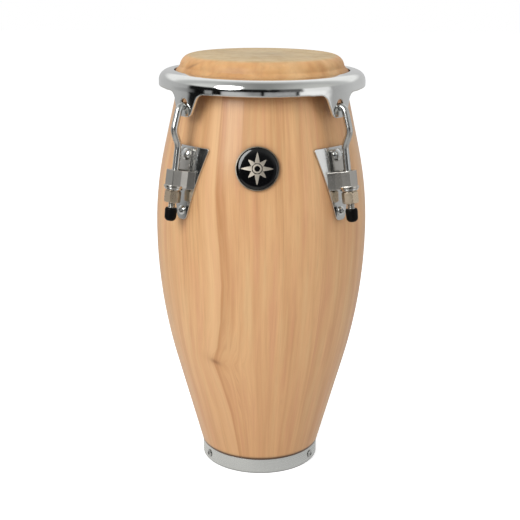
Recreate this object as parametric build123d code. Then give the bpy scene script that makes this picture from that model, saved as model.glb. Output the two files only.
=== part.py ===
from build123d import *
import math
import os

# Tunable miniature conga. Millimetres and degrees, +Z up.
# The origin is the centre of the foot, on the plane it stands on. The front, with the badge, faces -Y.

# ---------------------------------------------------------------- driving dimensions
overall_height = 279.4          # 11 inches, floor to playing surface

# Barrel: a lower cone, a lower and an upper arc that meet at the belly, and an upper cone
belly_radius = 70.2
belly_z = 166.0
lower_arc_radius = 349.0
upper_arc_radius = 241.5
lower_cone_angle = 15.2         # half-angles of the two cones
upper_cone_angle = 12.8
stave_count = 16
wall = 7.0
shell_bottom_z = 0.4            # the metal band stands this much proud of the wood
bearing_edge_radius = 6.4
inner_bevel_radius = 1.0

# Foot band and its screws
band_height = 10.5
band_inner_radius = 39.0
band_thickness = 1.2
band_screw_angles = (-30.0, 210.0, 90.0)
band_screw_z = 5.3
band_screw_head_radius = 2.5
band_screw_head_height = 1.3
band_screw_shank_radius = 1.25
band_screw_length = 6.0

# Head and flesh hoop
skin = 1.2
hoop_radius = 58.4
hoop_wire_radius = 2.0
skin_seam_gap = 0.4             # the skin's tail stops this short of closing round the hoop
skin_seam_angle = 115.0
skin_side_radius = 56.4
skin_flare_top_z = 272.6
skin_flare_bottom_z = 268.9

# Rim
rim_sheet = 2.0
rim_outer_radius = 67.2
rim_bottom_z = 260.0
rim_shoulder_z = 268.7          # height where the sloping top would meet the outer wall
rim_lip_radius = 57.2
rim_lip_z = 270.35
rim_roll_radius = 6.2
ear_tip_z = 245.8
ear_lean = 5.0                  # the ears lean out from the wall by this angle
ear_half_width = 10.9
ear_tip_half_width = 5.7
ear_shoulder_radius = 6.5
ear_tip_radius = 3.2
ear_hole_half_width = 2.9
ear_hole_bottom_z = 249.9
ear_hole_top_z = 256.9

# Lugs: one at each diagonal. Positions along a lug are measured up the shell from lug_z
lug_angles = {"front_left": 225.0, "front_right": 315.0, "rear_left": 135.0, "rear_right": 45.0}
lug_z = 207.0
plate_thickness = 1.2
plate_top = 20.3
plate_tip = -25.7
plate_top_half_width = 16.2
plate_tip_half_width = 3.7
tab_top = 19.0
tab_half_width = 4.7
tab_thickness = 1.4
bracket_bottom = -6.0
bracket_top = 5.0
bracket_facets = ((6.8, 4.8), (5.4, 8.8), (3.4, 13.7))   # half-width at each height over the shell
bracket_root_slope = 0.6         # the sides flare out to the plate
bracket_wall = 1.5
bracket_floor = 1.8
bracket_collar_radius = 6.1
bracket_collar_height = 1.4

# Tuning rod. Its straight lower part runs parallel to the shell at the lug
rod_offset = 9.3                # rod axis to shell surface
rod_radius = 2.25
rod_guide_radius = 2.6
rod_end = -24.5
rod_straight_top = 20.5
rod_knee_radius = 75.9
rod_knee_z = 237.8
hook_corner_radius = 71.2
hook_z = 252.3
hook_tail_radius = 62.8
hook_tail_z = 246.8
rod_bend_radii = (9.0, 8.0, 4.0, 2.8)
thread_top = -1.0
thread_pitch = 0.8
thread_depth = 0.35

# Tuning nut, washer and rubber cap
washer_radius = 5.6
washer_thickness = 1.2
running_gap = 0.05
nut_across_flats = 9.0
nut_height = 8.0
nut_face_height = 0.8
cap_radius = 3.85
cap_top = -18.6
cap_bottom = -27.0

# Fasteners of the plates
bolt_z = 221.8
bolt_head_radius = 3.7
bolt_head_height = 2.2
bolt_shank_radius = 2.0
bolt_spot_face = 0.25           # depth of the flat seat cut in the tab
bolt_washer_radius = 4.5
bolt_washer_thickness = 0.8
bolt_nut_across_flats = 7.0
bolt_nut_height = 3.2
bolt_inner_seat = 0.25          # a flat washer bridges the curved inner wall
plate_screw_z = 187.2
plate_screw_head_radius = 3.0
plate_screw_head_height = 1.7
plate_screw_shank_radius = 1.5
plate_screw_length = 6.5

# Badge
badge_angle = 267.7
badge_z = 216.7
badge_disc_radius = 12.85
badge_outer_radius = 13.45
badge_disc_thickness = 1.3
badge_bezel_thickness = 1.7

# ---------------------------------------------------------------- derived sizes
shell_top_z = overall_height - skin
band_outer_radius = band_inner_radius + band_thickness
stave_angle = 360.0 / stave_count
wrap_radius = hoop_wire_radius + skin
rim_slope = math.degrees(math.atan((rim_lip_z - rim_shoulder_z) / (rim_outer_radius - rim_lip_radius)))
rim_top_over_hoop = rim_lip_z - (hoop_radius - rim_lip_radius) * math.tan(math.radians(rim_slope))
hoop_z = rim_top_over_hoop - (rim_sheet + wrap_radius) / math.cos(math.radians(rim_slope))
washer_top = bracket_bottom
nut_top = washer_top - washer_thickness - running_gap


def sin(angle):
    return math.sin(math.radians(angle))


def cos(angle):
    return math.cos(math.radians(angle))


def tan(angle):
    return math.tan(math.radians(angle))


# ---------------------------------------------------------------- barrel surface
def barrel_point(tilt, inset=0.0):
    """Radius and height where the belly arcs' normal rises by tilt, inset along that normal."""
    arc = upper_arc_radius if tilt > 0 else lower_arc_radius
    return (belly_radius - arc + (arc - inset) * cos(tilt), belly_z + (arc - inset) * sin(tilt))


def barrel_tilt(z):
    """How far the shell's outward normal rises at height z."""
    arc = upper_arc_radius if z > belly_z else lower_arc_radius
    tilt = math.degrees(math.asin(max(-1.0, min(1.0, (z - belly_z) / arc))))
    return max(-lower_cone_angle, min(upper_cone_angle, tilt))


def barrel_radius(z, inset=0.0):
    """Radius of the barrel surface at height z on one of its cones."""
    tilt = upper_cone_angle if z > belly_z else -lower_cone_angle
    start_radius, start_z = barrel_point(tilt, inset)
    return start_radius - (z - start_z) * tan(tilt)


def barrel_curve(low_z, high_z, inset=0.0):
    """Lower cone, two belly arcs and upper cone, between two heights on the cones."""
    low_joint = barrel_point(-lower_cone_angle, inset)
    high_joint = barrel_point(upper_cone_angle, inset)
    belly = (belly_radius - inset, belly_z)
    return [
        Line((barrel_radius(low_z, inset), low_z), low_joint),
        RadiusArc(low_joint, belly, inset - lower_arc_radius),
        RadiusArc(belly, high_joint, inset - upper_arc_radius),
        Line(high_joint, (barrel_radius(high_z, inset), high_z)),
    ]


def barrel_solid(outset):
    """The whole barrel, filled, with its surface moved outwards."""
    low_z, high_z = 20.0, 262.0
    edges = barrel_curve(low_z, high_z, -outset)
    low, high = (0, low_z), (0, high_z)
    edges += [Line(high, edges[-1] @ 1), Line(low, high), Line(low, edges[0] @ 0)]
    return revolve(Plane.XZ * make_face(edges), Axis.Z)


def barrel_skin(inner, outer):
    """A layer over the barrel, between two outsets, as a full ring."""
    return barrel_solid(outer) - barrel_solid(inner)


def on_barrel(z, outset=0.0):
    """Plane on the shell at azimuth 0: local z is the outward normal, local y runs up the shell."""
    tilt = barrel_tilt(z)
    if abs(z - belly_z) < upper_arc_radius * sin(upper_cone_angle):
        radius = barrel_point(tilt)[0]
    else:
        radius = barrel_radius(z)
    origin = (radius + outset * cos(tilt), 0, z + outset * sin(tilt))
    return Plane(origin=origin, x_dir=(0, 1, 0), z_dir=(cos(tilt), 0, sin(tilt)))


def lug_plane():
    """Plane across the rod at lug_z: local z runs up along the rod, local y points outwards."""
    tilt = barrel_tilt(lug_z)
    origin = (barrel_point(tilt)[0], 0, lug_z)
    return Plane(origin=origin, x_dir=(0, -1, 0), z_dir=(-sin(tilt), 0, cos(tilt)))


def rod_plane(along=0.0):
    """The lug plane moved onto the rod's axis, at a place along the lug."""
    return lug_plane() * Plane(origin=(0, rod_offset, along))


def at_angle(shape, angle):
    return Rot(0, 0, angle) * shape


def revolved(section):
    return revolve(Plane.XZ * section, Axis.Z)


def turned(points):
    """A turned part on local z, from the (radius, height) corners of its half section."""
    return revolve(Plane.XZ * make_face(Polyline(points, close=True)), Axis.Z)


def sheet_section(points, radii, thickness):
    """Section of a bent sheet: one face follows points, the other lies to their right."""
    directions = []
    for start, end in zip(points, points[1:]):
        length = math.dist(start, end)
        directions.append(((end[0] - start[0]) / length, (end[1] - start[1]) / length))
    normals = [(dy, -dx) for dx, dy in directions]
    far_points = []
    far_radii = []
    for index, (x, y) in enumerate(points):
        before = normals[max(index - 1, 0)]
        after = normals[min(index, len(normals) - 1)]
        share = 1 + before[0] * after[0] + before[1] * after[1]
        far_points.append((x + thickness * (before[0] + after[0]) / share,
                           y + thickness * (before[1] + after[1]) / share))
        if 0 < index < len(points) - 1:
            (ax, ay), (bx, by) = directions[index - 1], directions[index]
            turns_right = ax * by - ay * bx < 0
            far_radii.append(radii[index - 1] + (-thickness if turns_right else thickness))
    near = FilletPolyline(*points, radius=radii)
    far = FilletPolyline(*far_points, radius=far_radii)
    ends = [Line(points[0], far_points[0]), Line(points[-1], far_points[-1])]
    return make_face([*near.edges(), *far.edges(), *ends])


# ---------------------------------------------------------------- shell
def stave():
    """One barrel stave: a wedge of the turned shell section."""
    step_radius = barrel_radius(band_height)
    inner_top_radius = barrel_radius(shell_top_z, wall)
    joint = barrel_point(upper_cone_angle)
    inner_joint = barrel_point(upper_cone_angle, wall)
    rim_line = FilletPolyline(joint, (barrel_radius(shell_top_z), shell_top_z),
                              (inner_top_radius, shell_top_z), inner_joint,
                              radius=[bearing_edge_radius, inner_bevel_radius])
    outer = barrel_curve(band_height, shell_top_z)[:3]
    inner = barrel_curve(shell_bottom_z, shell_top_z, wall)[:3]
    foot = Polyline(inner[0] @ 0, (band_inner_radius, shell_bottom_z),
                    (band_inner_radius, band_height), (step_radius, band_height))
    section = make_face([*foot.edges(), *outer, *rim_line.edges(), *inner])
    wedge = revolve(Plane.XZ * section, Axis.Z, revolution_arc=stave_angle)
    return at_angle(wedge, -stave_angle / 2)


def shell_staves():
    drills = [at_angle(on_barrel(bolt_z) * Cylinder(bolt_shank_radius + running_gap, 40), angle)
              for angle in lug_angles.values()]
    screw = Cylinder(plate_screw_shank_radius + running_gap, 2 * (plate_screw_length - plate_thickness))
    drills += [at_angle(on_barrel(plate_screw_z) * screw, angle) for angle in lug_angles.values()]
    drills += [band_screw_place(angle) * Cylinder(band_screw_shank_radius + running_gap,
                                                  2 * band_screw_length)
               for angle in band_screw_angles]
    staves = []
    blank = stave()
    for index in range(stave_count):
        angle = index * stave_angle
        piece = at_angle(blank, angle)
        for drill in drills:
            bearing = math.degrees(math.atan2(drill.center().Y, drill.center().X))
            if abs((bearing - angle + 180) % 360 - 180) < stave_angle:
                piece -= drill
        staves.append(piece.solid())
    return staves


# ---------------------------------------------------------------- foot band
def band_screw_place(angle):
    """Local z points out of the band's face at one screw."""
    return Rot(0, 0, angle) * Plane(origin=(band_outer_radius, 0, band_screw_z), x_dir=(0, 1, 0),
                                    z_dir=(1, 0, 0)).location


def foot_ring():
    edge = 0.35
    low, high = 0.0, band_height
    inner, outer = band_inner_radius, band_outer_radius
    band = turned([(inner, low), (outer - edge, low), (outer, low + edge), (outer, high - edge),
                   (outer - edge, high), (inner, high)])
    for angle in band_screw_angles:
        band -= band_screw_place(angle) * Cylinder(band_screw_shank_radius + running_gap, 8)
    return band


def cross_recess(size, depth):
    slot = Box(size, size * 0.24, depth) + Box(size * 0.24, size, depth)
    return slot


def domed_head(radius, height, sunk):
    """A screw head with a spherical top on local z = 0, and a skirt that reaches below it by sunk."""
    skirt = height * 0.3
    rise = height - skirt
    sphere = (radius ** 2 + rise ** 2) / (2 * rise)
    half_way = math.degrees(math.asin(radius / sphere)) / 2
    middle = (sphere * sin(half_way), height - sphere * (1 - cos(half_way)))
    side = Polyline((0, height), (0, -sunk), (radius, -sunk), (radius, skirt))
    dome = ThreePointArc((radius, skirt), middle, (0, height))
    return revolved(make_face([*side.edges(), dome]))


def foot_ring_screws():
    screws = []
    for angle in band_screw_angles:
        head = domed_head(band_screw_head_radius, band_screw_head_height, 0.5)
        head -= Pos(0, 0, band_screw_head_height) * cross_recess(2.6, 1.4)
        head = band_screw_place(angle) * head - Cylinder(band_outer_radius, 40)
        shank = band_screw_place(angle) * Pos(0, 0, -band_screw_length / 2 + 0.2) * Cylinder(
            band_screw_shank_radius, band_screw_length + 0.4)
        screws.append((head + shank).solid())
    return screws


# ---------------------------------------------------------------- head, hoop and rim
def flesh_hoop():
    return Pos(0, 0, hoop_z) * Torus(hoop_radius, hoop_wire_radius)


def drumhead():
    """Flat skin over the bearing edge, flared to the hoop and wrapped once round it."""
    cone = barrel_radius(skin_flare_top_z) + skin / cos(upper_cone_angle)
    corner = cone - (overall_height - skin_flare_top_z) * tan(upper_cone_angle)
    middle = (0, overall_height)
    line = [middle, (corner, overall_height), (cone, skin_flare_top_z),
            (skin_side_radius, skin_flare_bottom_z), (skin_side_radius, hoop_z)]
    sheet = sheet_section(line, [bearing_edge_radius + skin, 2.5, 2.5], skin)
    wrap = Circle(wrap_radius) - Circle(hoop_wire_radius)
    wrap -= Rot(0, 0, skin_seam_angle) * Pos(wrap_radius, 0) * Rectangle(2 * wrap_radius, skin_seam_gap)
    return revolved(sheet + Pos(hoop_radius, hoop_z) * wrap)


def rim():
    """Rolled rim, with its outer wall carried down into four ears."""
    line = [(rim_lip_radius, rim_lip_z), (rim_outer_radius, rim_shoulder_z),
            (rim_outer_radius, rim_bottom_z)]
    section = sheet_section(line, [rim_roll_radius], rim_sheet)
    lip = section.vertices().sort_by(Axis.X)[:2]
    section = fillet(lip, rim_sheet * 0.45)
    hem = section.vertices().sort_by(Axis.Y)[:2]
    section = fillet(hem, rim_sheet * 0.3)
    body = revolved(section)

    ear_bottom_z = ear_tip_z - 2
    ear_bottom_radius = rim_outer_radius + (rim_bottom_z - ear_bottom_z) * tan(ear_lean)
    skirt_top_z = rim_bottom_z + 2
    skirt = revolved(sheet_section([(rim_outer_radius, skirt_top_z), (rim_outer_radius, rim_bottom_z),
                                    (ear_bottom_radius, ear_bottom_z)], [20.0], rim_sheet))
    outline = [(-22, skirt_top_z), (-22, rim_bottom_z), (-ear_half_width, rim_bottom_z),
               (-ear_tip_half_width, ear_tip_z), (ear_tip_half_width, ear_tip_z),
               (ear_half_width, rim_bottom_z), (22, rim_bottom_z), (22, skirt_top_z)]
    edge = FilletPolyline(*outline, radius=[0, ear_shoulder_radius, ear_tip_radius, ear_tip_radius,
                                            ear_shoulder_radius, 0])
    ear_face = make_face([*edge.edges(), Line(outline[-1], outline[0])])
    hole_z = (ear_hole_bottom_z + ear_hole_top_z) / 2
    hole = Pos(0, hole_z) * SlotOverall(ear_hole_top_z - ear_hole_bottom_z, 2 * ear_hole_half_width,
                                        rotation=90)
    for angle in lug_angles.values():
        face_plane = Plane(origin=(55, 0, 0), x_dir=(0, 1, 0), z_dir=(1, 0, 0))
        block = at_angle(extrude(face_plane * ear_face, 25), angle)
        body += skirt & block
        body -= at_angle(extrude(face_plane * hole, 25), angle)
    return body


# ---------------------------------------------------------------- lug parts
def side_plate():
    """Shield-shaped plate, bent to lie on the barrel, with bevelled outer edges."""
    outline = Polyline((-plate_top_half_width, plate_top), (-plate_tip_half_width, plate_tip),
                       (plate_tip_half_width, plate_tip), (plate_top_half_width, plate_top),
                       close=True)
    face = make_face(outline)
    face = fillet(face.vertices().group_by(Axis.Y)[0], plate_tip_half_width * 0.85)
    face = fillet(face.vertices().group_by(Axis.Y)[-1], 1.2)
    plate = barrel_skin(0, plate_thickness) & extrude(on_barrel(lug_z, -8) * face, 20)
    for place, radius in ((bolt_z, bolt_shank_radius), (plate_screw_z, plate_screw_shank_radius)):
        plate -= on_barrel(place) * Cylinder(radius + running_gap, 12)
    return plate.solid()


def bracket_plan(back):
    """Plan of the strap across the rod, from back to its front face, narrowing outwards."""
    root_half_width, root_height = bracket_facets[0]
    right = [(root_half_width + (root_height + back) * bracket_root_slope, -back), *bracket_facets]
    left = [(-half_width, high) for half_width, high in reversed(right)]
    return make_face(Polyline(*right, *left, close=True))


def lug_bracket():
    """Folded strap round the rod on a back tab, closed below by a floor with a round collar."""
    outer = bracket_plan(2.0)
    inner = offset(bracket_plan(8.0), -bracket_wall, kind=Kind.INTERSECTION)
    base = lug_plane() * Plane(origin=(0, 0, bracket_bottom))
    walls = extrude(base * (outer - inner), bracket_top - bracket_bottom)
    floor = extrude(base * outer, bracket_floor)
    collar = rod_plane(bracket_bottom + bracket_collar_height / 2) * Cylinder(
        bracket_collar_radius, bracket_collar_height)
    strap = walls + floor + collar - barrel_solid(plate_thickness)
    tab_face = Pos(0, (tab_top + bracket_bottom) / 2) * RectangleRounded(
        2 * tab_half_width, tab_top - bracket_bottom, 1.5)
    tab = barrel_skin(plate_thickness, plate_thickness + tab_thickness)
    tab &= extrude(on_barrel(lug_z, -8) * tab_face, 20)
    bracket = strap + tab
    bracket -= rod_plane() * Cylinder(rod_guide_radius, 30)
    bracket -= on_barrel(bolt_z) * Cylinder(bolt_shank_radius + running_gap, 12)
    seat = plate_thickness + tab_thickness - bolt_spot_face
    bracket -= on_barrel(bolt_z, seat + 2.5) * Cylinder(bolt_head_radius + 0.4, 5)
    return bracket.solid()


def tuning_rod():
    """Hooked rod: thread below, straight shank, knee, hook through the ear and a tail behind it."""
    circle = Circle(rod_radius)
    start = rod_plane(thread_top).position
    straight_end = rod_plane(rod_straight_top).position
    points = [(start.X, start.Z), (straight_end.X, straight_end.Z), (rod_knee_radius, rod_knee_z),
              (hook_corner_radius, hook_z), (hook_tail_radius, hook_z), (hook_tail_radius, hook_tail_z)]
    path = Plane.XZ * FilletPolyline(*points, radius=list(rod_bend_radii))
    shank = sweep(rod_plane(thread_top) * circle, path=path)
    core = rod_radius - thread_depth
    pitches = int((thread_top - rod_end) / thread_pitch)
    corners = [(0, thread_top), (rod_radius, thread_top)]
    for index in range(pitches):
        crest = thread_top - 0.1 - index * thread_pitch
        corners += [(rod_radius, crest), (core, crest - thread_pitch / 2)]
    corners += [(core, rod_end), (0, rod_end)]
    thread = turned(corners)
    return (shank + rod_plane() * thread).solid()


def rod_cap():
    """Rubber cap, blind and rounded below, pushed over the rod's end."""
    taper = 0.35
    outer = FilletPolyline((cap_radius - taper - 0.1, cap_top), (cap_radius, cap_top - 1.2),
                           (cap_radius - taper, cap_bottom), (0, cap_bottom), radius=[0.8, 2.6])
    bore = Polyline((cap_radius - taper - 0.1, cap_top), (rod_radius, cap_top), (rod_radius, rod_end),
                    (0, rod_end), (0, cap_bottom))
    return rod_plane() * revolved(make_face([*outer.edges(), *bore.edges()]))


def rod_washer():
    ring = Cylinder(washer_radius, washer_thickness) - Cylinder(rod_guide_radius, washer_thickness)
    ring = chamfer(ring.edges().filter_by(GeomType.CIRCLE).group_by(SortBy.RADIUS)[-1], 0.25)
    return rod_plane(washer_top - washer_thickness / 2) * ring


def hex_blank(across_flats, height, corner_drop):
    """Hexagonal prism on local z = 0 to height, both ends turned down at the corners."""
    prism = extrude(RegularPolygon(across_flats / 2, 6, major_radius=False), height)
    corner = across_flats / math.sqrt(3) + 0.01
    flat = across_flats / 2 - 0.15
    return prism & turned([(0, 0), (flat, 0), (corner, corner_drop), (corner, height - corner_drop),
                           (flat, height), (0, height)])


def tuning_nut():
    """Hexagonal nut with a turned bearing face on top."""
    hexagon = hex_blank(nut_across_flats, nut_height - nut_face_height, 0.5)
    face = Pos(0, 0, nut_height - nut_face_height / 2) * Cylinder(
        nut_across_flats / 2 - 0.1, nut_face_height)
    bore = Cylinder(rod_radius + running_gap, 4 * nut_height)
    nut = (hexagon + face - bore).solid()
    return rod_plane(nut_top - nut_height) * nut


def plate_bolt():
    """Domed bolt through tab, plate and shell wall."""
    seat = plate_thickness + tab_thickness - bolt_spot_face
    reach = wall + bolt_inner_seat + bolt_washer_thickness + bolt_nut_height + 1.0
    head = domed_head(bolt_head_radius, bolt_head_height, 0)
    shank = Pos(0, 0, -(seat + reach) / 2) * Cylinder(bolt_shank_radius, seat + reach)
    return on_barrel(bolt_z, seat) * (head + shank).solid()


def plate_bolt_washer():
    ring = Cylinder(bolt_washer_radius, bolt_washer_thickness)
    ring -= Cylinder(bolt_shank_radius + running_gap, bolt_washer_thickness)
    return on_barrel(bolt_z, -wall - bolt_inner_seat - bolt_washer_thickness / 2) * ring


def plate_bolt_nut():
    nut = hex_blank(bolt_nut_across_flats, bolt_nut_height, 0.4)
    nut -= Cylinder(bolt_shank_radius, 4 * bolt_nut_height)
    back = wall + bolt_inner_seat + bolt_washer_thickness + bolt_nut_height
    return on_barrel(bolt_z, -back) * nut


def plate_screw():
    head = domed_head(plate_screw_head_radius, plate_screw_head_height, 0.6)
    head -= Pos(0, 0, plate_screw_head_height) * cross_recess(3.0, 1.6)
    head = on_barrel(plate_screw_z, plate_thickness) * head - barrel_solid(plate_thickness)
    top = plate_thickness + plate_screw_head_height / 4
    shank = on_barrel(plate_screw_z, top - plate_screw_length / 2) * Cylinder(
        plate_screw_shank_radius, plate_screw_length)
    return (head + shank).solid()


# ---------------------------------------------------------------- badge
def badge_layer(radius, thickness, hole_radius=0.0):
    """Round piece bent to lie on the shell at the badge's place."""
    face = Circle(radius)
    if hole_radius:
        face -= Circle(hole_radius)
    layer = barrel_skin(0, thickness) & extrude(on_barrel(badge_z, -8) * face, 16)
    return at_angle(layer.solid(), badge_angle)


def grouped(shape):
    """The same piece at all four lugs."""
    return [at_angle(shape, angle) for angle in lug_angles.values()]


def write(name, solids):
    pieces = solids if isinstance(solids, list) else [solids]
    pieces = [solid for piece in pieces for solid in piece.solids()]
    shape = pieces[0] if len(pieces) == 1 else Compound(children=pieces)
    shape.label = name
    export_step(shape, f"parts/{name}.step")


def main():
    os.makedirs("parts", exist_ok=True)
    write("shell_staves", shell_staves())
    write("foot_ring", foot_ring())
    write("foot_ring_screws", foot_ring_screws())
    write("badge_disc", badge_layer(badge_disc_radius - running_gap, badge_disc_thickness))
    write("badge_bezel", badge_layer(badge_outer_radius, badge_bezel_thickness, badge_disc_radius))
    write("flesh_hoop", flesh_hoop())
    write("drumhead", drumhead())
    write("rim", rim())
    write("plate_bolts", grouped(plate_bolt()))
    write("plate_bolt_washers", grouped(plate_bolt_washer()))
    write("plate_bolt_nuts", grouped(plate_bolt_nut()))
    write("plate_screws", grouped(plate_screw()))
    write("rod_washers", grouped(rod_washer()))
    lug_pieces = {"side_plate": side_plate(), "lug_bracket": lug_bracket(),
                  "tuning_rod": tuning_rod(), "tuning_nut": tuning_nut(), "rod_cap": rod_cap()}
    for kind, piece in lug_pieces.items():
        for corner, angle in lug_angles.items():
            write(f"{kind}_{corner}", at_angle(piece, angle))


main()
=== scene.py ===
import math

import bmesh
import bpy
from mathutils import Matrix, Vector, noise
from mathutils.bvhtree import BVHTree


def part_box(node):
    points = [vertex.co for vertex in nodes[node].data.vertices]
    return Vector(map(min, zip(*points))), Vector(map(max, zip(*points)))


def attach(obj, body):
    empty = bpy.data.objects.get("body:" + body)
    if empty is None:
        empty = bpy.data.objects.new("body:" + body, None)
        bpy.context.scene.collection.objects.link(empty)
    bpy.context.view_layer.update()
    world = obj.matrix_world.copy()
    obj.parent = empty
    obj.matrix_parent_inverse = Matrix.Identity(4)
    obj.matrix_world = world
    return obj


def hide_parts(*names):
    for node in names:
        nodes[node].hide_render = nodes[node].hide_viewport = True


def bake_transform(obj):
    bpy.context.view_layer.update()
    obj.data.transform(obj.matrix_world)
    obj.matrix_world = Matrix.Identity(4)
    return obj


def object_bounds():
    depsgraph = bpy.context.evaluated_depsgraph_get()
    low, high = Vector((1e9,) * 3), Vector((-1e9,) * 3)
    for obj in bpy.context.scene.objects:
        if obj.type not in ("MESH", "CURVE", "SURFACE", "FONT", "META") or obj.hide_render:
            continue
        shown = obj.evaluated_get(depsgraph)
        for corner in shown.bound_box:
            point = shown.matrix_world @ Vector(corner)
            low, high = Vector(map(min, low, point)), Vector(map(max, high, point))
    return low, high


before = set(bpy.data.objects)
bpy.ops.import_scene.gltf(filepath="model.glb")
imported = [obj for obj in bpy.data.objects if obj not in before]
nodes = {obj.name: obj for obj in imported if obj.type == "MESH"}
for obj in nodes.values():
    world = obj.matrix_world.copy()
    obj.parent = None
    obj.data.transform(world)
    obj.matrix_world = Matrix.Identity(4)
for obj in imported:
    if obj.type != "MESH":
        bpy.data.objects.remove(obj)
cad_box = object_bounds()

# The drum's looks: materials for its CAD nodes, the hide, the badge's face and the studio.
# Lengths are in metres, in the CAD frame: +Z up, the badge faces -Y. MM turns millimetres into metres.
MM = 0.001
CORNERS = ("front_left", "front_right", "rear_left", "rear_right")
bottom, top = cad_box[0][2], cad_box[1][2]
height = top - bottom


# ---------------------------------------------------------------- shader helpers
class Graph:
    """Short calls to add, compute and link the nodes of a material or of the world."""

    def __init__(self, tree):
        self.tree = tree

    def put(self, socket, value):
        """Gives an input a number, a vector or another node's output."""
        if isinstance(value, bpy.types.NodeSocket):
            self.tree.links.new(value, socket)
        elif isinstance(value, tuple) and len(value) == 3 and socket.type == "RGBA":
            socket.default_value = (*value, 1.0)
        else:
            socket.default_value = value

    def add(self, kind, values=(), **settings):
        node = self.tree.nodes.new(kind)
        for name, value in settings.items():
            setattr(node, name, value)
        for name, value in dict(values).items():
            self.put(node.inputs[name], value)
        return node

    def math(self, operation, *values):
        node = self.add("ShaderNodeMath", operation=operation)
        for index, value in enumerate(values):
            self.put(node.inputs[index], value)
        return node.outputs[0]

    def vector(self, x, y, z):
        return self.add("ShaderNodeCombineXYZ", {"X": x, "Y": y, "Z": z}).outputs[0]

    def split(self, vector):
        return self.add("ShaderNodeSeparateXYZ", {"Vector": vector}).outputs

    def noise(self, vector, scale, detail=3.0, roughness=0.5):
        values = {"Vector": vector, "Scale": scale, "Detail": detail, "Roughness": roughness}
        return self.add("ShaderNodeTexNoise", values).outputs["Fac"]

    def ramp(self, value, stops):
        """Color ramp from (place, (r, g, b)) stops."""
        node = self.add("ShaderNodeValToRGB", {"Fac": value})
        elements = node.color_ramp.elements
        while len(elements) < len(stops):
            elements.new(0.5)
        for element, (place, color) in zip(elements, stops):
            element.position = place
            element.color = (*color, 1.0)
        return node.outputs["Color"]

    def spread(self, value, low, high, new_low=0.0, new_high=1.0):
        values = {"Value": value, "From Min": low, "From Max": high, "To Min": new_low,
                  "To Max": new_high}
        return self.add("ShaderNodeMapRange", values).outputs["Result"]

    def mix(self, share, first, second):
        node = self.add("ShaderNodeMix", data_type="RGBA")
        for socket, value in zip((node.inputs[0], node.inputs[6], node.inputs[7]),
                                 (share, first, second)):
            self.put(socket, value)
        return node.outputs[2]

    def bell(self, value, center, width):
        """1 at center, falling off smoothly over width."""
        off = self.math("DIVIDE", self.math("SUBTRACT", value, center), width)
        return self.math("EXPONENT", self.math("MULTIPLY", self.math("MULTIPLY", off, off), -1.0))

    def front_turn(self, x, y):
        """Angle round the drum's axis in radians: 0 in front, positive towards +X."""
        return self.math("ARCTAN2", x, self.math("MULTIPLY", y, -1.0))

    def from_axis(self, x, y):
        """Distance from the drum's axis."""
        squares = self.math("ADD", self.math("MULTIPLY", x, x), self.math("MULTIPLY", y, y))
        return self.math("SQRT", squares)


class Shader(Graph):
    """A Principled material."""

    def __init__(self, name, color, roughness, metallic=0.0):
        self.material = bpy.data.materials.new(name)
        self.material.use_nodes = True
        super().__init__(self.material.node_tree)
        self.surface = self.tree.nodes["Principled BSDF"]
        self.set("Base Color", color)
        self.set("Roughness", roughness)
        self.set("Metallic", metallic)

    def set(self, name, value):
        self.put(self.surface.inputs[name], value)

    def bump(self, fac, strength, distance, edge=0.0):
        """Fine relief; edge softens the normals this far from the real edges."""
        values = {"Height": fac, "Strength": strength, "Distance": distance}
        if edge:
            values["Normal"] = self.add("ShaderNodeBevel", {"Radius": edge}, samples=6).outputs[0]
        self.set("Normal", self.add("ShaderNodeBump", values).outputs["Normal"])

    def place(self):
        """Position in the object's own space, which the CAD frame shares at rest."""
        return self.add("ShaderNodeTexCoord").outputs["Object"]

    def nearness(self, reach):
        """Rises from 0 to 1 where surfaces within reach crowd in, so that painted shade gathers there."""
        occlusion = self.add("ShaderNodeAmbientOcclusion", {"Distance": reach}, samples=6)
        return self.math("SUBTRACT", 1.0, occlusion.outputs["AO"])

    def facing_up(self):
        """The z part of the surface's normal."""
        return self.split(self.add("ShaderNodeNewGeometry").outputs["Normal"])["Z"]


def dress(node_names, material):
    """Gives CAD nodes a material."""
    for name in node_names:
        mesh = nodes[name].data
        mesh.materials.clear()
        mesh.materials.append(material)


def each(kind):
    """The names of a lug's node at all four corners."""
    return [f"{kind}_{corner}" for corner in CORNERS]


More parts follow.
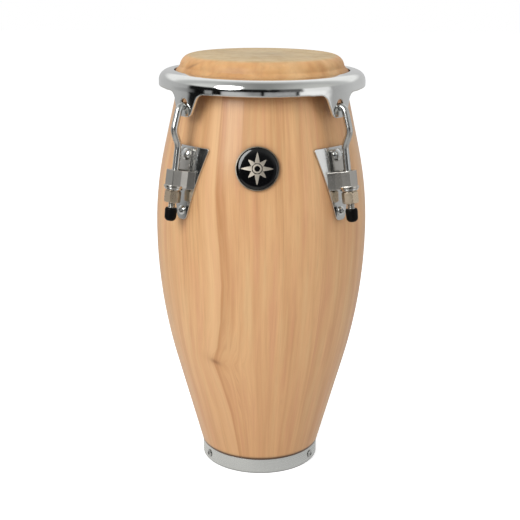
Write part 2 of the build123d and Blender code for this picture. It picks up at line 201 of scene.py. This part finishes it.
# ---------------------------------------------------------------- wood
def wood():
    """Lacquered pale hardwood: soft vertical bands, fine fibres, a heart line and a small knot."""
    shader = Shader("shell_wood", (0.7, 0.45, 0.25), 0.34)
    x, y, z = shader.split(shader.place())
    azimuth = shader.front_turn(x, y)
    degrees = shader.math("MULTIPLY", azimuth, 180.0 / math.pi)
    up = shader.math("DIVIDE", shader.math("SUBTRACT", z, bottom), height)

    # The heart line wanders round the knot, and the fibres beside it follow.
    home, reach, knot_up, knot_azimuth = -23.0, 10.0, 0.311, -28.5
    wander = [(0.05, 3.5), (0.17, 0.5), (0.26, -4.0), (knot_up, -7.4), (0.35, -3.2), (0.42, 0.6),
              (0.51, 2.2), (0.60, 1.2), (0.72, -2.0), (0.90, -3.0)]
    stops = [(place, (0.5 + offset / (2 * reach),) * 3) for place, offset in wander]
    drift = shader.spread(shader.ramp(up, stops), 0.0, 1.0, -reach, reach)
    pull = shader.math("MULTIPLY", drift, shader.bell(degrees, home - 3.0, 17.0))
    sway = shader.noise(shader.vector(shader.math("MULTIPLY", azimuth, 1.5), 0.0, z), 9.0, 1.0)
    sway = shader.spread(sway, 0.0, 1.0, -2.0, 2.0)
    calm = shader.math("SUBTRACT", degrees, pull)
    fibre = shader.math("ADD", calm, sway)

    stave_width = 360 / 16                  # degrees
    turn = shader.math("DIVIDE", degrees, stave_width)
    stave = shader.math("FLOOR", shader.math("ADD", turn, 0.5))
    within = shader.math("ABSOLUTE", shader.math("SUBTRACT", turn, stave))
    stave_noise = shader.add("ShaderNodeTexWhiteNoise", {"W": stave}, noise_dimensions="1D")
    tone = stave_noise.outputs["Value"]

    def grain(degrees_wide, tall, detail, roughness=0.5, layer=0.0):
        across = shader.math("DIVIDE", fibre, degrees_wide)
        along = shader.math("DIVIDE", z, tall)
        return shader.noise(shader.vector(across, along, layer), 1.0, detail, roughness)

    bands = grain(8.0, 170 * MM, 2.0)
    streaks = grain(1.5, 75 * MM, 3.0, 0.6)
    fibres = grain(0.42, 16 * MM, 3.0, 0.6)
    pores = grain(0.2, 5 * MM, 2.0, 0.5)
    lines = grain(0.8, 120 * MM, 1.0)
    region = grain(15.0, 110 * MM, 1.0)
    hue = grain(4.6, 80 * MM, 2.0, 0.55, 7.0)

    color = shader.ramp(shader.spread(bands, 0.30, 0.70), [
        (0.0, (0.595, 0.318, 0.142)), (0.42, (0.672, 0.378, 0.177)), (1.0, (0.752, 0.450, 0.215))])
    color = shader.mix(shader.spread(hue, 0.50, 0.68, 0.0, 0.50), color, (0.640, 0.300, 0.160))
    color = shader.mix(shader.spread(hue, 0.47, 0.30, 0.0, 0.45), color, (0.700, 0.475, 0.235))
    color = shader.mix(shader.spread(streaks, 0.50, 0.76, 0.0, 0.36), color, (0.500, 0.240, 0.095))
    color = shader.mix(shader.spread(streaks, 0.46, 0.28, 0.0, 0.30), color, (0.810, 0.520, 0.262))
    lined = shader.math("MULTIPLY", shader.spread(lines, 0.60, 0.70),
                        shader.spread(region, 0.48, 0.62))
    color = shader.mix(shader.math("MULTIPLY", lined, 0.30), color, (0.430, 0.205, 0.085))
    color = shader.mix(shader.spread(fibres, 0.5, 0.75, 0.0, 0.24), color, (0.420, 0.215, 0.100))
    color = shader.mix(shader.spread(tone, 0.0, 1.0, 0.0, 0.12), color, (0.560, 0.300, 0.150))

    beside = shader.math("SUBTRACT", calm, home)
    dark_side = shader.spread(beside, -0.35, 0.45)
    fade = shader.math("EXPONENT", shader.math("DIVIDE", shader.math("ABSOLUTE", beside), -5.4))
    ragged = shader.spread(streaks, 0.30, 0.62, 0.55, 1.0)
    heart = shader.math("MULTIPLY", shader.math("MULTIPLY", dark_side, fade), ragged)
    color = shader.mix(shader.math("MULTIPLY", heart, 0.66), color, (0.455, 0.195, 0.070))
    sap = shader.math("MULTIPLY", shader.math("SUBTRACT", 1.0, dark_side),
                      shader.bell(beside, -3.5, 5.0))
    color = shader.mix(shader.math("MULTIPLY", sap, 0.40), color, (0.800, 0.505, 0.262))

    # The knot is a small tilted oval with a wide, weak halo.
    knot_wide, knot_tall = 2.6, 0.0048      # degrees, and a share of the height
    across = shader.math("DIVIDE", shader.math("SUBTRACT", degrees, knot_azimuth), knot_wide)
    along = shader.math("DIVIDE", shader.math("SUBTRACT", up, knot_up), knot_tall)
    tilted = shader.math("ADD", along, shader.math("MULTIPLY", across, 0.5))
    far = shader.math("ADD", shader.math("MULTIPLY", across, across),
                      shader.math("MULTIPLY", tilted, tilted))
    knot = shader.math("EXPONENT", shader.math("MULTIPLY", far, -0.8))
    halo = shader.math("EXPONENT", shader.math("MULTIPLY", far, -0.10))
    color = shader.mix(shader.math("MULTIPLY", halo, 0.34), color, (0.430, 0.190, 0.070))
    color = shader.mix(shader.math("MULTIPLY", knot, 0.62), color, (0.170, 0.066, 0.024))

    # Joints between staves, and painted shade: a darker foot, shade beside the metal and under the rim,
    # and a dark line over the foot band.
    seam = shader.spread(within, 0.4955, 0.4995, 0.0, 0.30)
    color = shader.mix(seam, color, (0.300, 0.150, 0.070))
    # Painted shade: the wood darker towards the foot.
    color = shader.mix(shader.spread(up, 0.55, 0.10, 0.0, 0.22), color, (0.560, 0.290, 0.130))
    band_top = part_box("foot_ring")[1].z
    # Painted shade in the gap between the wood and the foot band.
    gap_shade = shader.math("MULTIPLY", shader.bell(z, band_top + 0.6 * MM, 1.1 * MM), 0.95)
    # Painted shade where the rim, plates and badge crowd the wood.
    shade = shader.spread(shader.nearness(14 * MM), 0.10, 0.75, 0.0, 0.80)
    color = shader.mix(shade, color, (0.175, 0.070, 0.026))
    color = shader.mix(gap_shade, color, (0.045, 0.022, 0.012))
    shader.set("Base Color", color)
    shader.set("Roughness", shader.spread(pores, 0.3, 0.7, 0.30, 0.42))
    shader.set("Specular IOR Level", 0.35)
    shader.set("Coat Weight", 0.16)
    shader.set("Coat Roughness", 0.18)
    relief = shader.math("ADD", shader.math("MULTIPLY", fibres, 0.6),
                         shader.math("MULTIPLY", pores, 0.4))
    shader.bump(relief, 0.22, 0.12 * MM)
    return shader.material


# ---------------------------------------------------------------- metals, rubber, enamel
def chrome(name, tint, roughness, ripple, edge=0.0):
    """Polished plating with a faint ripple of the metal below and a light haze."""
    shader = Shader(name, tint, roughness, 1.0)
    place = shader.place()
    haze = shader.noise(place, 160.0, 4.0, 0.6)
    shader.set("Roughness", shader.spread(haze, 0.35, 0.7, roughness, roughness + 0.05))
    ripples = shader.noise(place, 75.0, 2.0, 0.4)
    shader.bump(ripples, ripple, 0.6 * MM, edge)
    tone = shader.mix(shader.spread(haze, 0.3, 0.75, 0.0, 0.12), tint, (0.55, 0.54, 0.52))
    shader.set("Base Color", tone)
    return shader.material


def brushed(name, tint, roughness, round_axis=True, edge=0.0):
    """Satin plated steel with painted shade in its corners, and fine lines round it if it is turned."""
    shader = Shader(name, tint, roughness, 1.0)
    place = shader.place()
    if round_axis:
        x, y, z = shader.split(place)
        turn = shader.math("ARCTAN2", x, y)
        lines = shader.noise(shader.vector(turn, 0.0, shader.math("MULTIPLY", z, 2600.0)), 1.0, 3.0)
    else:
        lines = shader.noise(place, 260.0, 2.0)
    cloud = shader.noise(place, 60.0, 3.0)
    shader.set("Roughness", shader.spread(lines, 0.3, 0.7, roughness - 0.06, roughness + 0.08))
    darker = tuple(0.8 * part for part in tint)
    color = shader.mix(shader.spread(cloud, 0.35, 0.7, 0.0, 0.25), tint, darker)
    # Painted shade where other surfaces crowd in, as round the screw heads.
    crevice_shade = shader.spread(shader.nearness(1.6 * MM), 0.12, 0.5, 0.0, 0.9)
    shader.set("Base Color", shader.mix(crevice_shade, color, (0.030, 0.026, 0.022)))
    shader.bump(lines, 0.08 if round_axis else 0.03, 0.05 * MM, edge)
    return shader.material


def rubber():
    """Moulded black rubber with a fine matt skin and dusty upper edges."""
    black = (0.002, 0.002, 0.0025)
    shader = Shader("cap_rubber", black, 0.48)
    shader.set("Specular IOR Level", 0.10)
    place = shader.place()
    grain = shader.noise(place, 2400.0, 2.0)
    dust = shader.noise(place, 420.0, 3.0)
    share = shader.math("MULTIPLY", shader.spread(dust, 0.5, 0.8, 0.0, 0.5),
                        shader.spread(shader.facing_up(), 0.0, 1.0, 0.1, 1.0))
    shader.set("Base Color", shader.mix(share, black, (0.012, 0.011, 0.010)))
    shader.set("Roughness", shader.spread(dust, 0.3, 0.7, 0.38, 0.58))
    shader.bump(grain, 0.25, 0.06 * MM)
    return shader.material


def enamel():
    """Deep gloss black under a clear dome."""
    shader = Shader("badge_enamel", (0.003, 0.003, 0.0035), 0.10)
    shader.set("Coat Weight", 1.0)
    shader.set("Specular IOR Level", 0.2)
    shader.set("Coat Roughness", 0.03)
    haze = shader.noise(shader.place(), 300.0)
    shader.set("Roughness", shader.spread(haze, 0.3, 0.7, 0.08, 0.16))
    return shader.material


def hide():
    """Rawhide: greyish on top as a painted sheen of the light, tan on the stretched side, with pores and
    clouding.
    """
    shader = Shader("rawhide", (0.7, 0.5, 0.3), 0.5)
    place = shader.place()
    cloud = shader.noise(place, 28.0, 4.0, 0.6)
    mottle = shader.noise(place, 130.0, 4.0, 0.65)
    pores = shader.noise(place, 1500.0, 2.0, 0.5)
    side = shader.ramp(shader.spread(cloud, 0.3, 0.7), [
        (0.0, (0.500, 0.235, 0.082)), (0.5, (0.665, 0.365, 0.148)), (1.0, (0.775, 0.485, 0.228))])
    # Painted sheen: the upward-facing top is greyer and paler, standing in for reflected light.
    top_sheen = shader.ramp(shader.spread(cloud, 0.3, 0.7), [
        (0.0, (0.485, 0.335, 0.160)), (0.5, (0.585, 0.420, 0.205)), (1.0, (0.660, 0.490, 0.262))])
    up = shader.spread(shader.facing_up(), 0.86, 0.995)
    color = shader.mix(up, side, top_sheen)
    color = shader.mix(shader.spread(mottle, 0.45, 0.8, 0.0, 0.42), color, (0.400, 0.225, 0.100))
    x, y, z = shader.split(place)
    turn = shader.math("MULTIPLY", shader.math("ARCTAN2", x, y), 7.0)
    stretched = shader.noise(shader.vector(turn, 0.0, shader.math("MULTIPLY", z, 90.0)), 1.0, 2.0)
    pulled = shader.math("MULTIPLY", shader.spread(stretched, 0.46, 0.70, 0.0, 0.40),
                         shader.math("SUBTRACT", 1.0, up))
    color = shader.mix(pulled, color, (0.500, 0.215, 0.070))
    worn = shader.bell(shader.from_axis(x, y), 0.0, 24 * MM)
    color = shader.mix(shader.math("MULTIPLY", worn, 0.35), color, (0.430, 0.360, 0.255))
    # Painted shade of one slanting crease, left of the front.
    crease_turn = -0.97
    front_turn = shader.front_turn(x, y)
    rise = shader.math("MULTIPLY", shader.math("SUBTRACT", front_turn, crease_turn), 20.0 * MM)
    crease_shade = shader.math("MULTIPLY", shader.bell(front_turn, crease_turn, 0.11),
                         shader.bell(shader.math("SUBTRACT", z, rise), top - 4.9 * MM, 0.9 * MM))
    color = shader.mix(shader.math("MULTIPLY", crease_shade, 0.55), color, (0.260, 0.130, 0.055))
    # Painted shade on the hide's side where it goes down inside the rim.
    crevice_shade = shader.bell(z, top - 11.2 * MM, 2.0 * MM)
    color = shader.mix(shader.math("MULTIPLY", crevice_shade, 0.35), color, (0.300, 0.150, 0.060))
    shader.set("Base Color", color)
    shader.set("Roughness", shader.spread(mottle, 0.3, 0.7, 0.40, 0.60))
    shader.set("Subsurface Weight", 0.08)
    shader.set("Subsurface Radius", (1.2 * MM, 0.6 * MM, 0.3 * MM))
    relief = shader.math("ADD", shader.math("MULTIPLY", mottle, 0.5),
                         shader.math("MULTIPLY", pores, 0.5))
    shader.bump(relief, 0.3, 0.15 * MM)
    return shader.material


# ---------------------------------------------------------------- mesh helpers
def mesh_piece(name, points, faces, material, smooth=True):
    """A new object from points and faces, with its normals made to face out."""
    mesh = bpy.data.meshes.new(name)
    mesh.from_pydata(points, [], faces)
    work = bmesh.new()
    work.from_mesh(mesh)
    bmesh.ops.recalc_face_normals(work, faces=work.faces)
    work.to_mesh(mesh)
    work.free()
    mesh.materials.append(material)
    piece = bpy.data.objects.new(name, mesh)
    bpy.context.scene.collection.objects.link(piece)
    if smooth:
        mesh.polygons.foreach_set("use_smooth", [True] * len(mesh.polygons))
    return piece


def arc(center, radius, start, end, steps):
    """Points on an arc in the (radius, height) plane, between two angles in degrees."""
    points = []
    for index in range(steps + 1):
        angle = math.radians(start + (end - start) * index / steps)
        points.append((center[0] + radius * math.cos(angle), center[1] + radius * math.sin(angle)))
    return points


# ---------------------------------------------------------------- the hide
def hide_profile():
    """Closed half section of the hide: over the top, down the flare and once round the hoop."""
    hoop_low, hoop_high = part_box("flesh_hoop")
    head_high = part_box("drumhead")[1]
    wire = (hoop_high.z - hoop_low.z) / 2
    skin = head_high.x - hoop_high.x
    hoop = (hoop_high.x - wire, (hoop_high.z + hoop_low.z) / 2)
    side = hoop[0] - wire
    crown = 7.6 * MM                    # bend over the shell's edge
    cone, flare = 12.8, 40.0            # degrees from upright
    bend = 2.5 * MM
    side_z = top - 11.4 * MM            # the flare has turned upright here
    lean_out = (math.cos(math.radians(cone)), math.sin(math.radians(cone)))
    cone_end = (53.30 * MM, top - 6.5 * MM)
    hollow = (cone_end[0] + bend * lean_out[0], cone_end[1] + bend * lean_out[1])
    knee = (side - bend, side_z)
    crown_drop = top - cone_end[1] - crown * (1 - lean_out[1])
    shoulder = (cone_end[0] - math.tan(math.radians(cone)) * crown_drop - crown * lean_out[0],
                top - crown)
    outer = [(step * shoulder[0] / 8, top) for step in range(9)]
    outer += arc(shoulder, crown, 86, cone, 14)
    outer += arc(hollow, bend, 180 + cone, 180 + flare, 5)
    outer += arc(knee, bend, flare, 0, 5)
    outer += arc(hoop, wire, 180, 470, 26)
    inner = arc(hoop, wire + skin, 470, 180, 29)
    inner += arc(knee, bend - skin, 0, flare, 4)
    inner += arc(hollow, bend + skin, 180 + flare, 180 + cone, 4)
    inner += arc(shoulder, crown - skin, cone, 90, 10)
    inner += [(step * shoulder[0] / 4, top - skin) for step in range(3, -1, -1)]
    return outer + inner


def hide_piece():
    """The hide as one closed turned form, slightly uneven as dried skin is."""
    profile = hide_profile()
    around = 192
    uneven = 0.16 * MM
    points = []
    rings = []
    for radius, z in profile:
        if radius < 1e-9:       # a point on the axis
            rings.append([len(points)])
            points.append((0.0, 0.0, z))
            continue
        drop = top - z
        loose = min(1.0, max(0.0, (drop - 2 * MM) / (6 * MM))) if drop < 11 * MM else 0.0
        ring = []
        for index in range(around):
            angle = 2 * math.pi * index / around
            spot = Vector((math.cos(angle), math.sin(angle), (z - bottom) * 30))
            swell = uneven * loose * noise.noise(spot * 3.1)
            ring.append(len(points))
            points.append(((radius + swell) * math.cos(angle), (radius + swell) * math.sin(angle), z))
        rings.append(ring)
    faces = []
    for near, far in zip(rings, rings[1:]):
        for index in range(around):
            after = (index + 1) % around
            if len(near) == 1:
                faces.append((near[0], far[index], far[after]))
            elif len(far) == 1:
                faces.append((near[index], far[0], near[after]))
            else:
                faces.append((near[index], far[index], far[after], near[after]))
    piece = mesh_piece("rawhide_head", points, faces, hide())
    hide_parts("drumhead")
    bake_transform(piece)


# ---------------------------------------------------------------- badge
def badge_frame():
    """Centre, outward normal, and sideways and upward directions of the badge."""
    low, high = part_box("badge_disc")
    center = (low + high) / 2
    normal = Vector((0, 0, 0))
    for face in nodes["badge_disc"].data.polygons:
        if face.normal.dot(Vector((center.x, center.y, 0)).normalized()) > 0.5:     # faces outwards
            normal += face.normal * face.area
    normal.normalize()
    sideways = Vector((0, 0, 1)).cross(normal).normalized()
    return center, normal, sideways, normal.cross(sideways)


class Badge:
    """The badge's curved disc and the dome over it, by distance and angle round its centre."""

    radius = 12.7 * MM
    dome = 0.65 * MM

    def __init__(self):
        disc = nodes["badge_disc"].data
        self.disc = BVHTree.FromPolygons([vertex.co for vertex in disc.vertices],
                                         [tuple(face.vertices) for face in disc.polygons])
        self.center, self.normal, self.sideways, self.upward = badge_frame()

    def on_disc(self, distance, angle):
        """A point on the disc's own curved face."""
        across = self.sideways * (distance * math.cos(angle))
        spot = self.center + across + self.upward * (distance * math.sin(angle))
        return self.disc.ray_cast(spot + self.normal * 20 * MM, -self.normal)[0]

    def on_dome(self, distance, angle, raised=0.0):
        """A point on the dome, which is flat in the middle and rolls down at its edge."""
        lift = self.dome * (1 - (distance / self.radius) ** 13) + 0.02 * MM
        return tuple(self.on_disc(distance, angle) + self.normal * (lift + raised))


def badge_face(badge):
    """The domed black face: rings of points from the middle to the edge, then its back."""
    around, steps = 72, 24
    depth = 1.1 * MM

    def ring_point(ring, index):
        return 1 + (ring - 1) * around + index % around

    points = [badge.on_dome(0, 0)]
    for ring in range(1, steps + 1):
        distance = badge.radius * math.sin(math.pi / 2 * ring / steps)     # closer rings at the edge
        points += [badge.on_dome(distance, 2 * math.pi * index / around) for index in range(around)]
    faces = []
    for index in range(around):
        faces.append((0, ring_point(1, index), ring_point(1, index + 1)))
        for ring in range(1, steps):
            faces.append((ring_point(ring, index), ring_point(ring + 1, index),
                          ring_point(ring + 1, index + 1), ring_point(ring, index + 1)))

    back = len(points)
    for index in range(around):
        edge = Vector(points[ring_point(steps, index)])
        points.append(tuple(edge - badge.normal * depth))
    last = len(points)
    points.append(tuple(badge.on_disc(0, 0) - badge.normal * depth))
    for index in range(around):
        after = (index + 1) % around
        faces.append((ring_point(steps, index), back + index, back + after, ring_point(steps, after)))
        faces.append((last, back + after, back + index))
    face = mesh_piece("badge_face", points, faces, enamel())
    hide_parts("badge_disc")
    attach(face, "shell")


def badge_ornament(badge):
    """A plain ornament inlaid in the face: eight tapering rays, long and short, round a ring."""
    points, faces = [], []
    rays, slices = 8, 8
    inner_radius, outer_radius = 3.6 * MM, 9.9 * MM
    root_half_angle, taper = math.radians(25.3), 0.8
    short_ray = 0.78                    # length of every other ray
    blunt = 0.004                       # half angle left at a ray's tip
    thickness = 0.24 * MM
    for ray in range(rays):
        middle = math.pi / 2 + 2 * math.pi * ray / rays
        ray_end = outer_radius if ray % 2 == 0 else outer_radius * short_ray
        start = len(points)
        for step in range(slices + 1):
            share = step / slices
            distance = inner_radius + (ray_end - inner_radius) * share
            half = root_half_angle * inner_radius / distance * (1 - share) ** taper + blunt
            for angle in (middle - half, middle + half):
                points += [badge.on_dome(distance, angle, raised) for raised in (0.0, thickness)]
        for step in range(slices):
            a = start + 4 * step
            b = a + 4
            faces += [(a + 1, b + 1, b + 3, a + 3), (a, a + 2, b + 2, b), (a, b, b + 1, a + 1),
                      (a + 2, a + 3, b + 3, b + 2)]
        end = start + 4 * slices
        faces += [(start, start + 1, start + 3, start + 2), (end, end + 2, end + 3, end + 1)]

    ring_radius, half_width, sides = 2.3 * MM, 0.55 * MM, 40
    inside, outside = ring_radius - half_width, ring_radius + half_width
    section = ((inside, 0.0), (inside, thickness), (outside, thickness), (outside, 0.0))
    start = len(points)
    for index in range(sides):
        angle = 2 * math.pi * index / sides
        points += [badge.on_dome(distance, angle, raised) for distance, raised in section]
    for index in range(sides):
        a = start + 4 * index
        b = start + 4 * ((index + 1) % sides)
        for corner in range(4):
            after = (corner + 1) % 4
            faces.append((a + corner, a + after, b + after, b + corner))
    metal = brushed("badge_inlay", (0.74, 0.67, 0.57), 0.42, False)
    inlay = mesh_piece("badge_ornament", points, faces, metal, smooth=False)
    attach(inlay, "shell")


# ---------------------------------------------------------------- CAD nodes
def dress_cad():
    """Materials for the CAD nodes that are shown; the metal edges catch light as if bevelled."""
    dress(["shell_staves"], wood())
    dress(["rim"], chrome("rim_chrome", (0.80, 0.81, 0.80), 0.05, 0.012, 1.4 * MM))
    dress(each("lug_bracket"), chrome("bracket_chrome", (0.62, 0.60, 0.56), 0.20, 0.05, 0.6 * MM))
    dress(each("side_plate") + ["plate_bolts", "plate_screws", "rod_washers"],
          chrome("lug_chrome", (0.74, 0.75, 0.74), 0.14, 0.06, 0.5 * MM))
    dress(each("tuning_rod"), chrome("rod_chrome", (0.62, 0.63, 0.62), 0.24, 0.008))
    # The nuts' tan tint is a painted reflection of the brown wood on chrome steel.
    dress(each("tuning_nut"), brushed("nut_steel", (0.88, 0.73, 0.55), 0.30, False, 0.3 * MM))
    dress(each("rod_cap"), rubber())
    dress(["foot_ring"], brushed("foot_metal", (0.78, 0.79, 0.77), 0.24, True, 0.25 * MM))
    dress(["foot_ring_screws", "plate_bolt_nuts", "plate_bolt_washers", "flesh_hoop"],
          brushed("screw_steel", (0.60, 0.60, 0.58), 0.28, False))
    dress(["badge_bezel"], brushed("badge_metal", (0.34, 0.30, 0.24), 0.4, False))


# ---------------------------------------------------------------- studio
# How bright polished metal finds the room, by direction: 0 is behind the drum, 0.25 left, 0.5 in front.
BOARDS_AT_RIM = [(0.0, 0.60), (0.17, 0.52), (0.25, 0.30), (0.288, 0.004), (0.320, 0.004), (0.324, 0.34),
                 (0.346, 0.34), (0.351, 0.004), (0.375, 0.004), (0.380, 0.58), (0.43, 0.60), (0.47, 0.34),
                 (0.494, 0.28), (0.499, 0.01), (0.504, 0.01), (0.509, 0.40), (0.598, 0.44), (0.603, 0.01),
                 (0.610, 0.01), (0.614, 1.05), (0.695, 1.05), (0.73, 0.42), (0.84, 0.62), (1.0, 0.60)]
BOARDS_FAR = [(0.0, 0.60), (0.20, 0.50), (0.252, 0.40), (0.266, 0.008), (0.545, 0.006), (0.558, 0.10),
              (0.620, 0.12), (0.630, 0.95), (0.712, 0.90), (0.728, 0.42), (0.84, 0.60), (1.0, 0.60)]
BOARDS_LOW = [(0.0, 0.60), (0.22, 0.42), (0.262, 0.36), (0.276, 0.02), (0.322, 0.01), (0.335, 0.30),
              (0.40, 0.44), (0.47, 0.50), (0.55, 0.30), (0.60, 0.14), (0.64, 0.50), (0.75, 0.44),
              (1.0, 0.60)]


def around_level(shader, x, y, boards, tint=(1.0, 1.0, 1.0)):
    """The boards' brightness in a direction: black flags and white boards."""
    share = shader.math("ADD", shader.math("DIVIDE", shader.front_turn(x, y), 2 * math.pi), 0.5)
    stops = [(place, tuple(level * part for part in tint)) for place, level in boards]
    return shader.ramp(share, stops)


def studio():
    """White floor and backdrop, a soft key from the upper left, a fill and a light over the head.

    Mirrors alone see the boards, in the world above the horizon and in the floor below it.
    """
    world = bpy.data.worlds.new("studio")
    bpy.context.scene.world = world
    world.use_nodes = True
    room = Graph(world.node_tree)
    back = room.tree.nodes["Background"]
    x, y, z = room.split(room.add("ShaderNodeTexCoord").outputs["Generated"])
    side = room.spread(x, -0.8, 0.8)
    sides = room.mix(side, (0.84, 0.85, 0.83), (0.66, 0.66, 0.64))
    ahead = room.mix(room.bell(x, 0.0, 0.62), sides, (0.27, 0.275, 0.27))
    behind = room.ramp(y, [(0.0, (0.46, 0.465, 0.46)), (0.36, (0.60, 0.605, 0.60)),
                           (0.56, (0.96, 0.96, 0.95))])
    high = room.mix(room.spread(y, -0.12, 0.20), ahead, behind)
    level = room.mix(room.spread(z, 0.24, 0.38), around_level(room, x, y, BOARDS_FAR), high)
    path = room.add("ShaderNodeLightPath").outputs
    color = room.mix(path["Is Glossy Ray"], (0.46, 0.465, 0.475), level)
    room.put(back.inputs["Color"], room.mix(path["Is Camera Ray"], color, (1.0, 1.0, 1.0)))
    back.inputs["Strength"].default_value = 1.0

    bpy.ops.mesh.primitive_plane_add(size=8, location=(0, 0, bottom))
    floor = bpy.context.object
    floor.name = "floor"
    white = Shader("floor_white", (0.90, 0.90, 0.90), 0.9)
    path = white.add("ShaderNodeLightPath").outputs
    x, y, z = white.split(white.place())
    distant = white.from_axis(x, y)
    low = around_level(white, x, y, BOARDS_LOW, (1.0, 0.96, 0.90))
    close = white.mix(white.spread(x, -0.05, 0.05), (0.68, 0.67, 0.65), (0.52, 0.52, 0.515))
    seen = white.mix(white.spread(distant, 0.25, 0.5), close, low)
    seen = white.mix(white.spread(distant, 1.15, 1.35), seen, around_level(white, x, y, BOARDS_AT_RIM))
    seen = white.mix(white.spread(distant, 2.25, 2.45), seen, around_level(white, x, y, BOARDS_FAR))
    white.set("Emission Color", (1.0, 1.0, 1.0))
    white.set("Emission Strength", white.math("MULTIPLY", path["Is Camera Ray"], 0.62))
    mirrored = white.add("ShaderNodeEmission", {"Color": seen, "Strength": 1.0})
    shared = white.add("ShaderNodeMixShader")
    white.put(shared.inputs[0], path["Is Glossy Ray"])
    white.put(shared.inputs[1], white.surface.outputs[0])
    white.put(shared.inputs[2], mirrored.outputs[0])
    white.put(white.tree.nodes["Material Output"].inputs["Surface"], shared.outputs[0])
    floor.data.materials.append(white.material)

    def softbox(name, place, size, energy, aim, mirrored=True):
        light = bpy.data.lights.new(name, "AREA")
        light.shape = "ELLIPSE"
        light.size, light.size_y = size
        light.energy = energy
        lamp = bpy.data.objects.new(name, light)
        lamp.location = place
        lamp.visible_glossy = mirrored
        lamp.rotation_euler = (Vector(aim) - Vector(place)).to_track_quat("-Z", "Y").to_euler()
        bpy.context.scene.collection.objects.link(lamp)

    middle = (0, 0, bottom + height * 0.55)
    softbox("key", (-0.75, -0.95, 0.85), (0.7, 0.9), 10.5, middle)
    softbox("fill", (1.1, -0.7, 0.45), (0.35, 0.9), 2.6, middle, False)
    softbox("head", (0.0, 0.15, 1.3), (0.9, 0.7), 3.0, (0, 0, top), False)


def camera():
    """A long lens in front of the drum, above it, pitched down and rolled a little."""
    distance, rise = 2.520 * height, 1.2332 * height
    pitch_down, roll = math.radians(16.17), math.radians(0.37)
    data = bpy.data.cameras.new("camera")
    data.lens, data.sensor_width = 74.19, 36.0      # millimetres
    data.shift_x = -0.001
    view = bpy.data.objects.new("camera", data)
    view.location = (-0.3 * MM, -distance, bottom + rise)
    view.rotation_euler = (math.pi / 2 - pitch_down, 0.0, 0.0)
    view.rotation_euler.rotate_axis("Z", roll)
    bpy.context.scene.collection.objects.link(view)
    bpy.context.scene.camera = view


dress_cad()
hide_piece()
badge = Badge()
badge_face(badge)
badge_ornament(badge)
studio()
camera()
bpy.context.scene.view_settings.view_transform = "Standard"
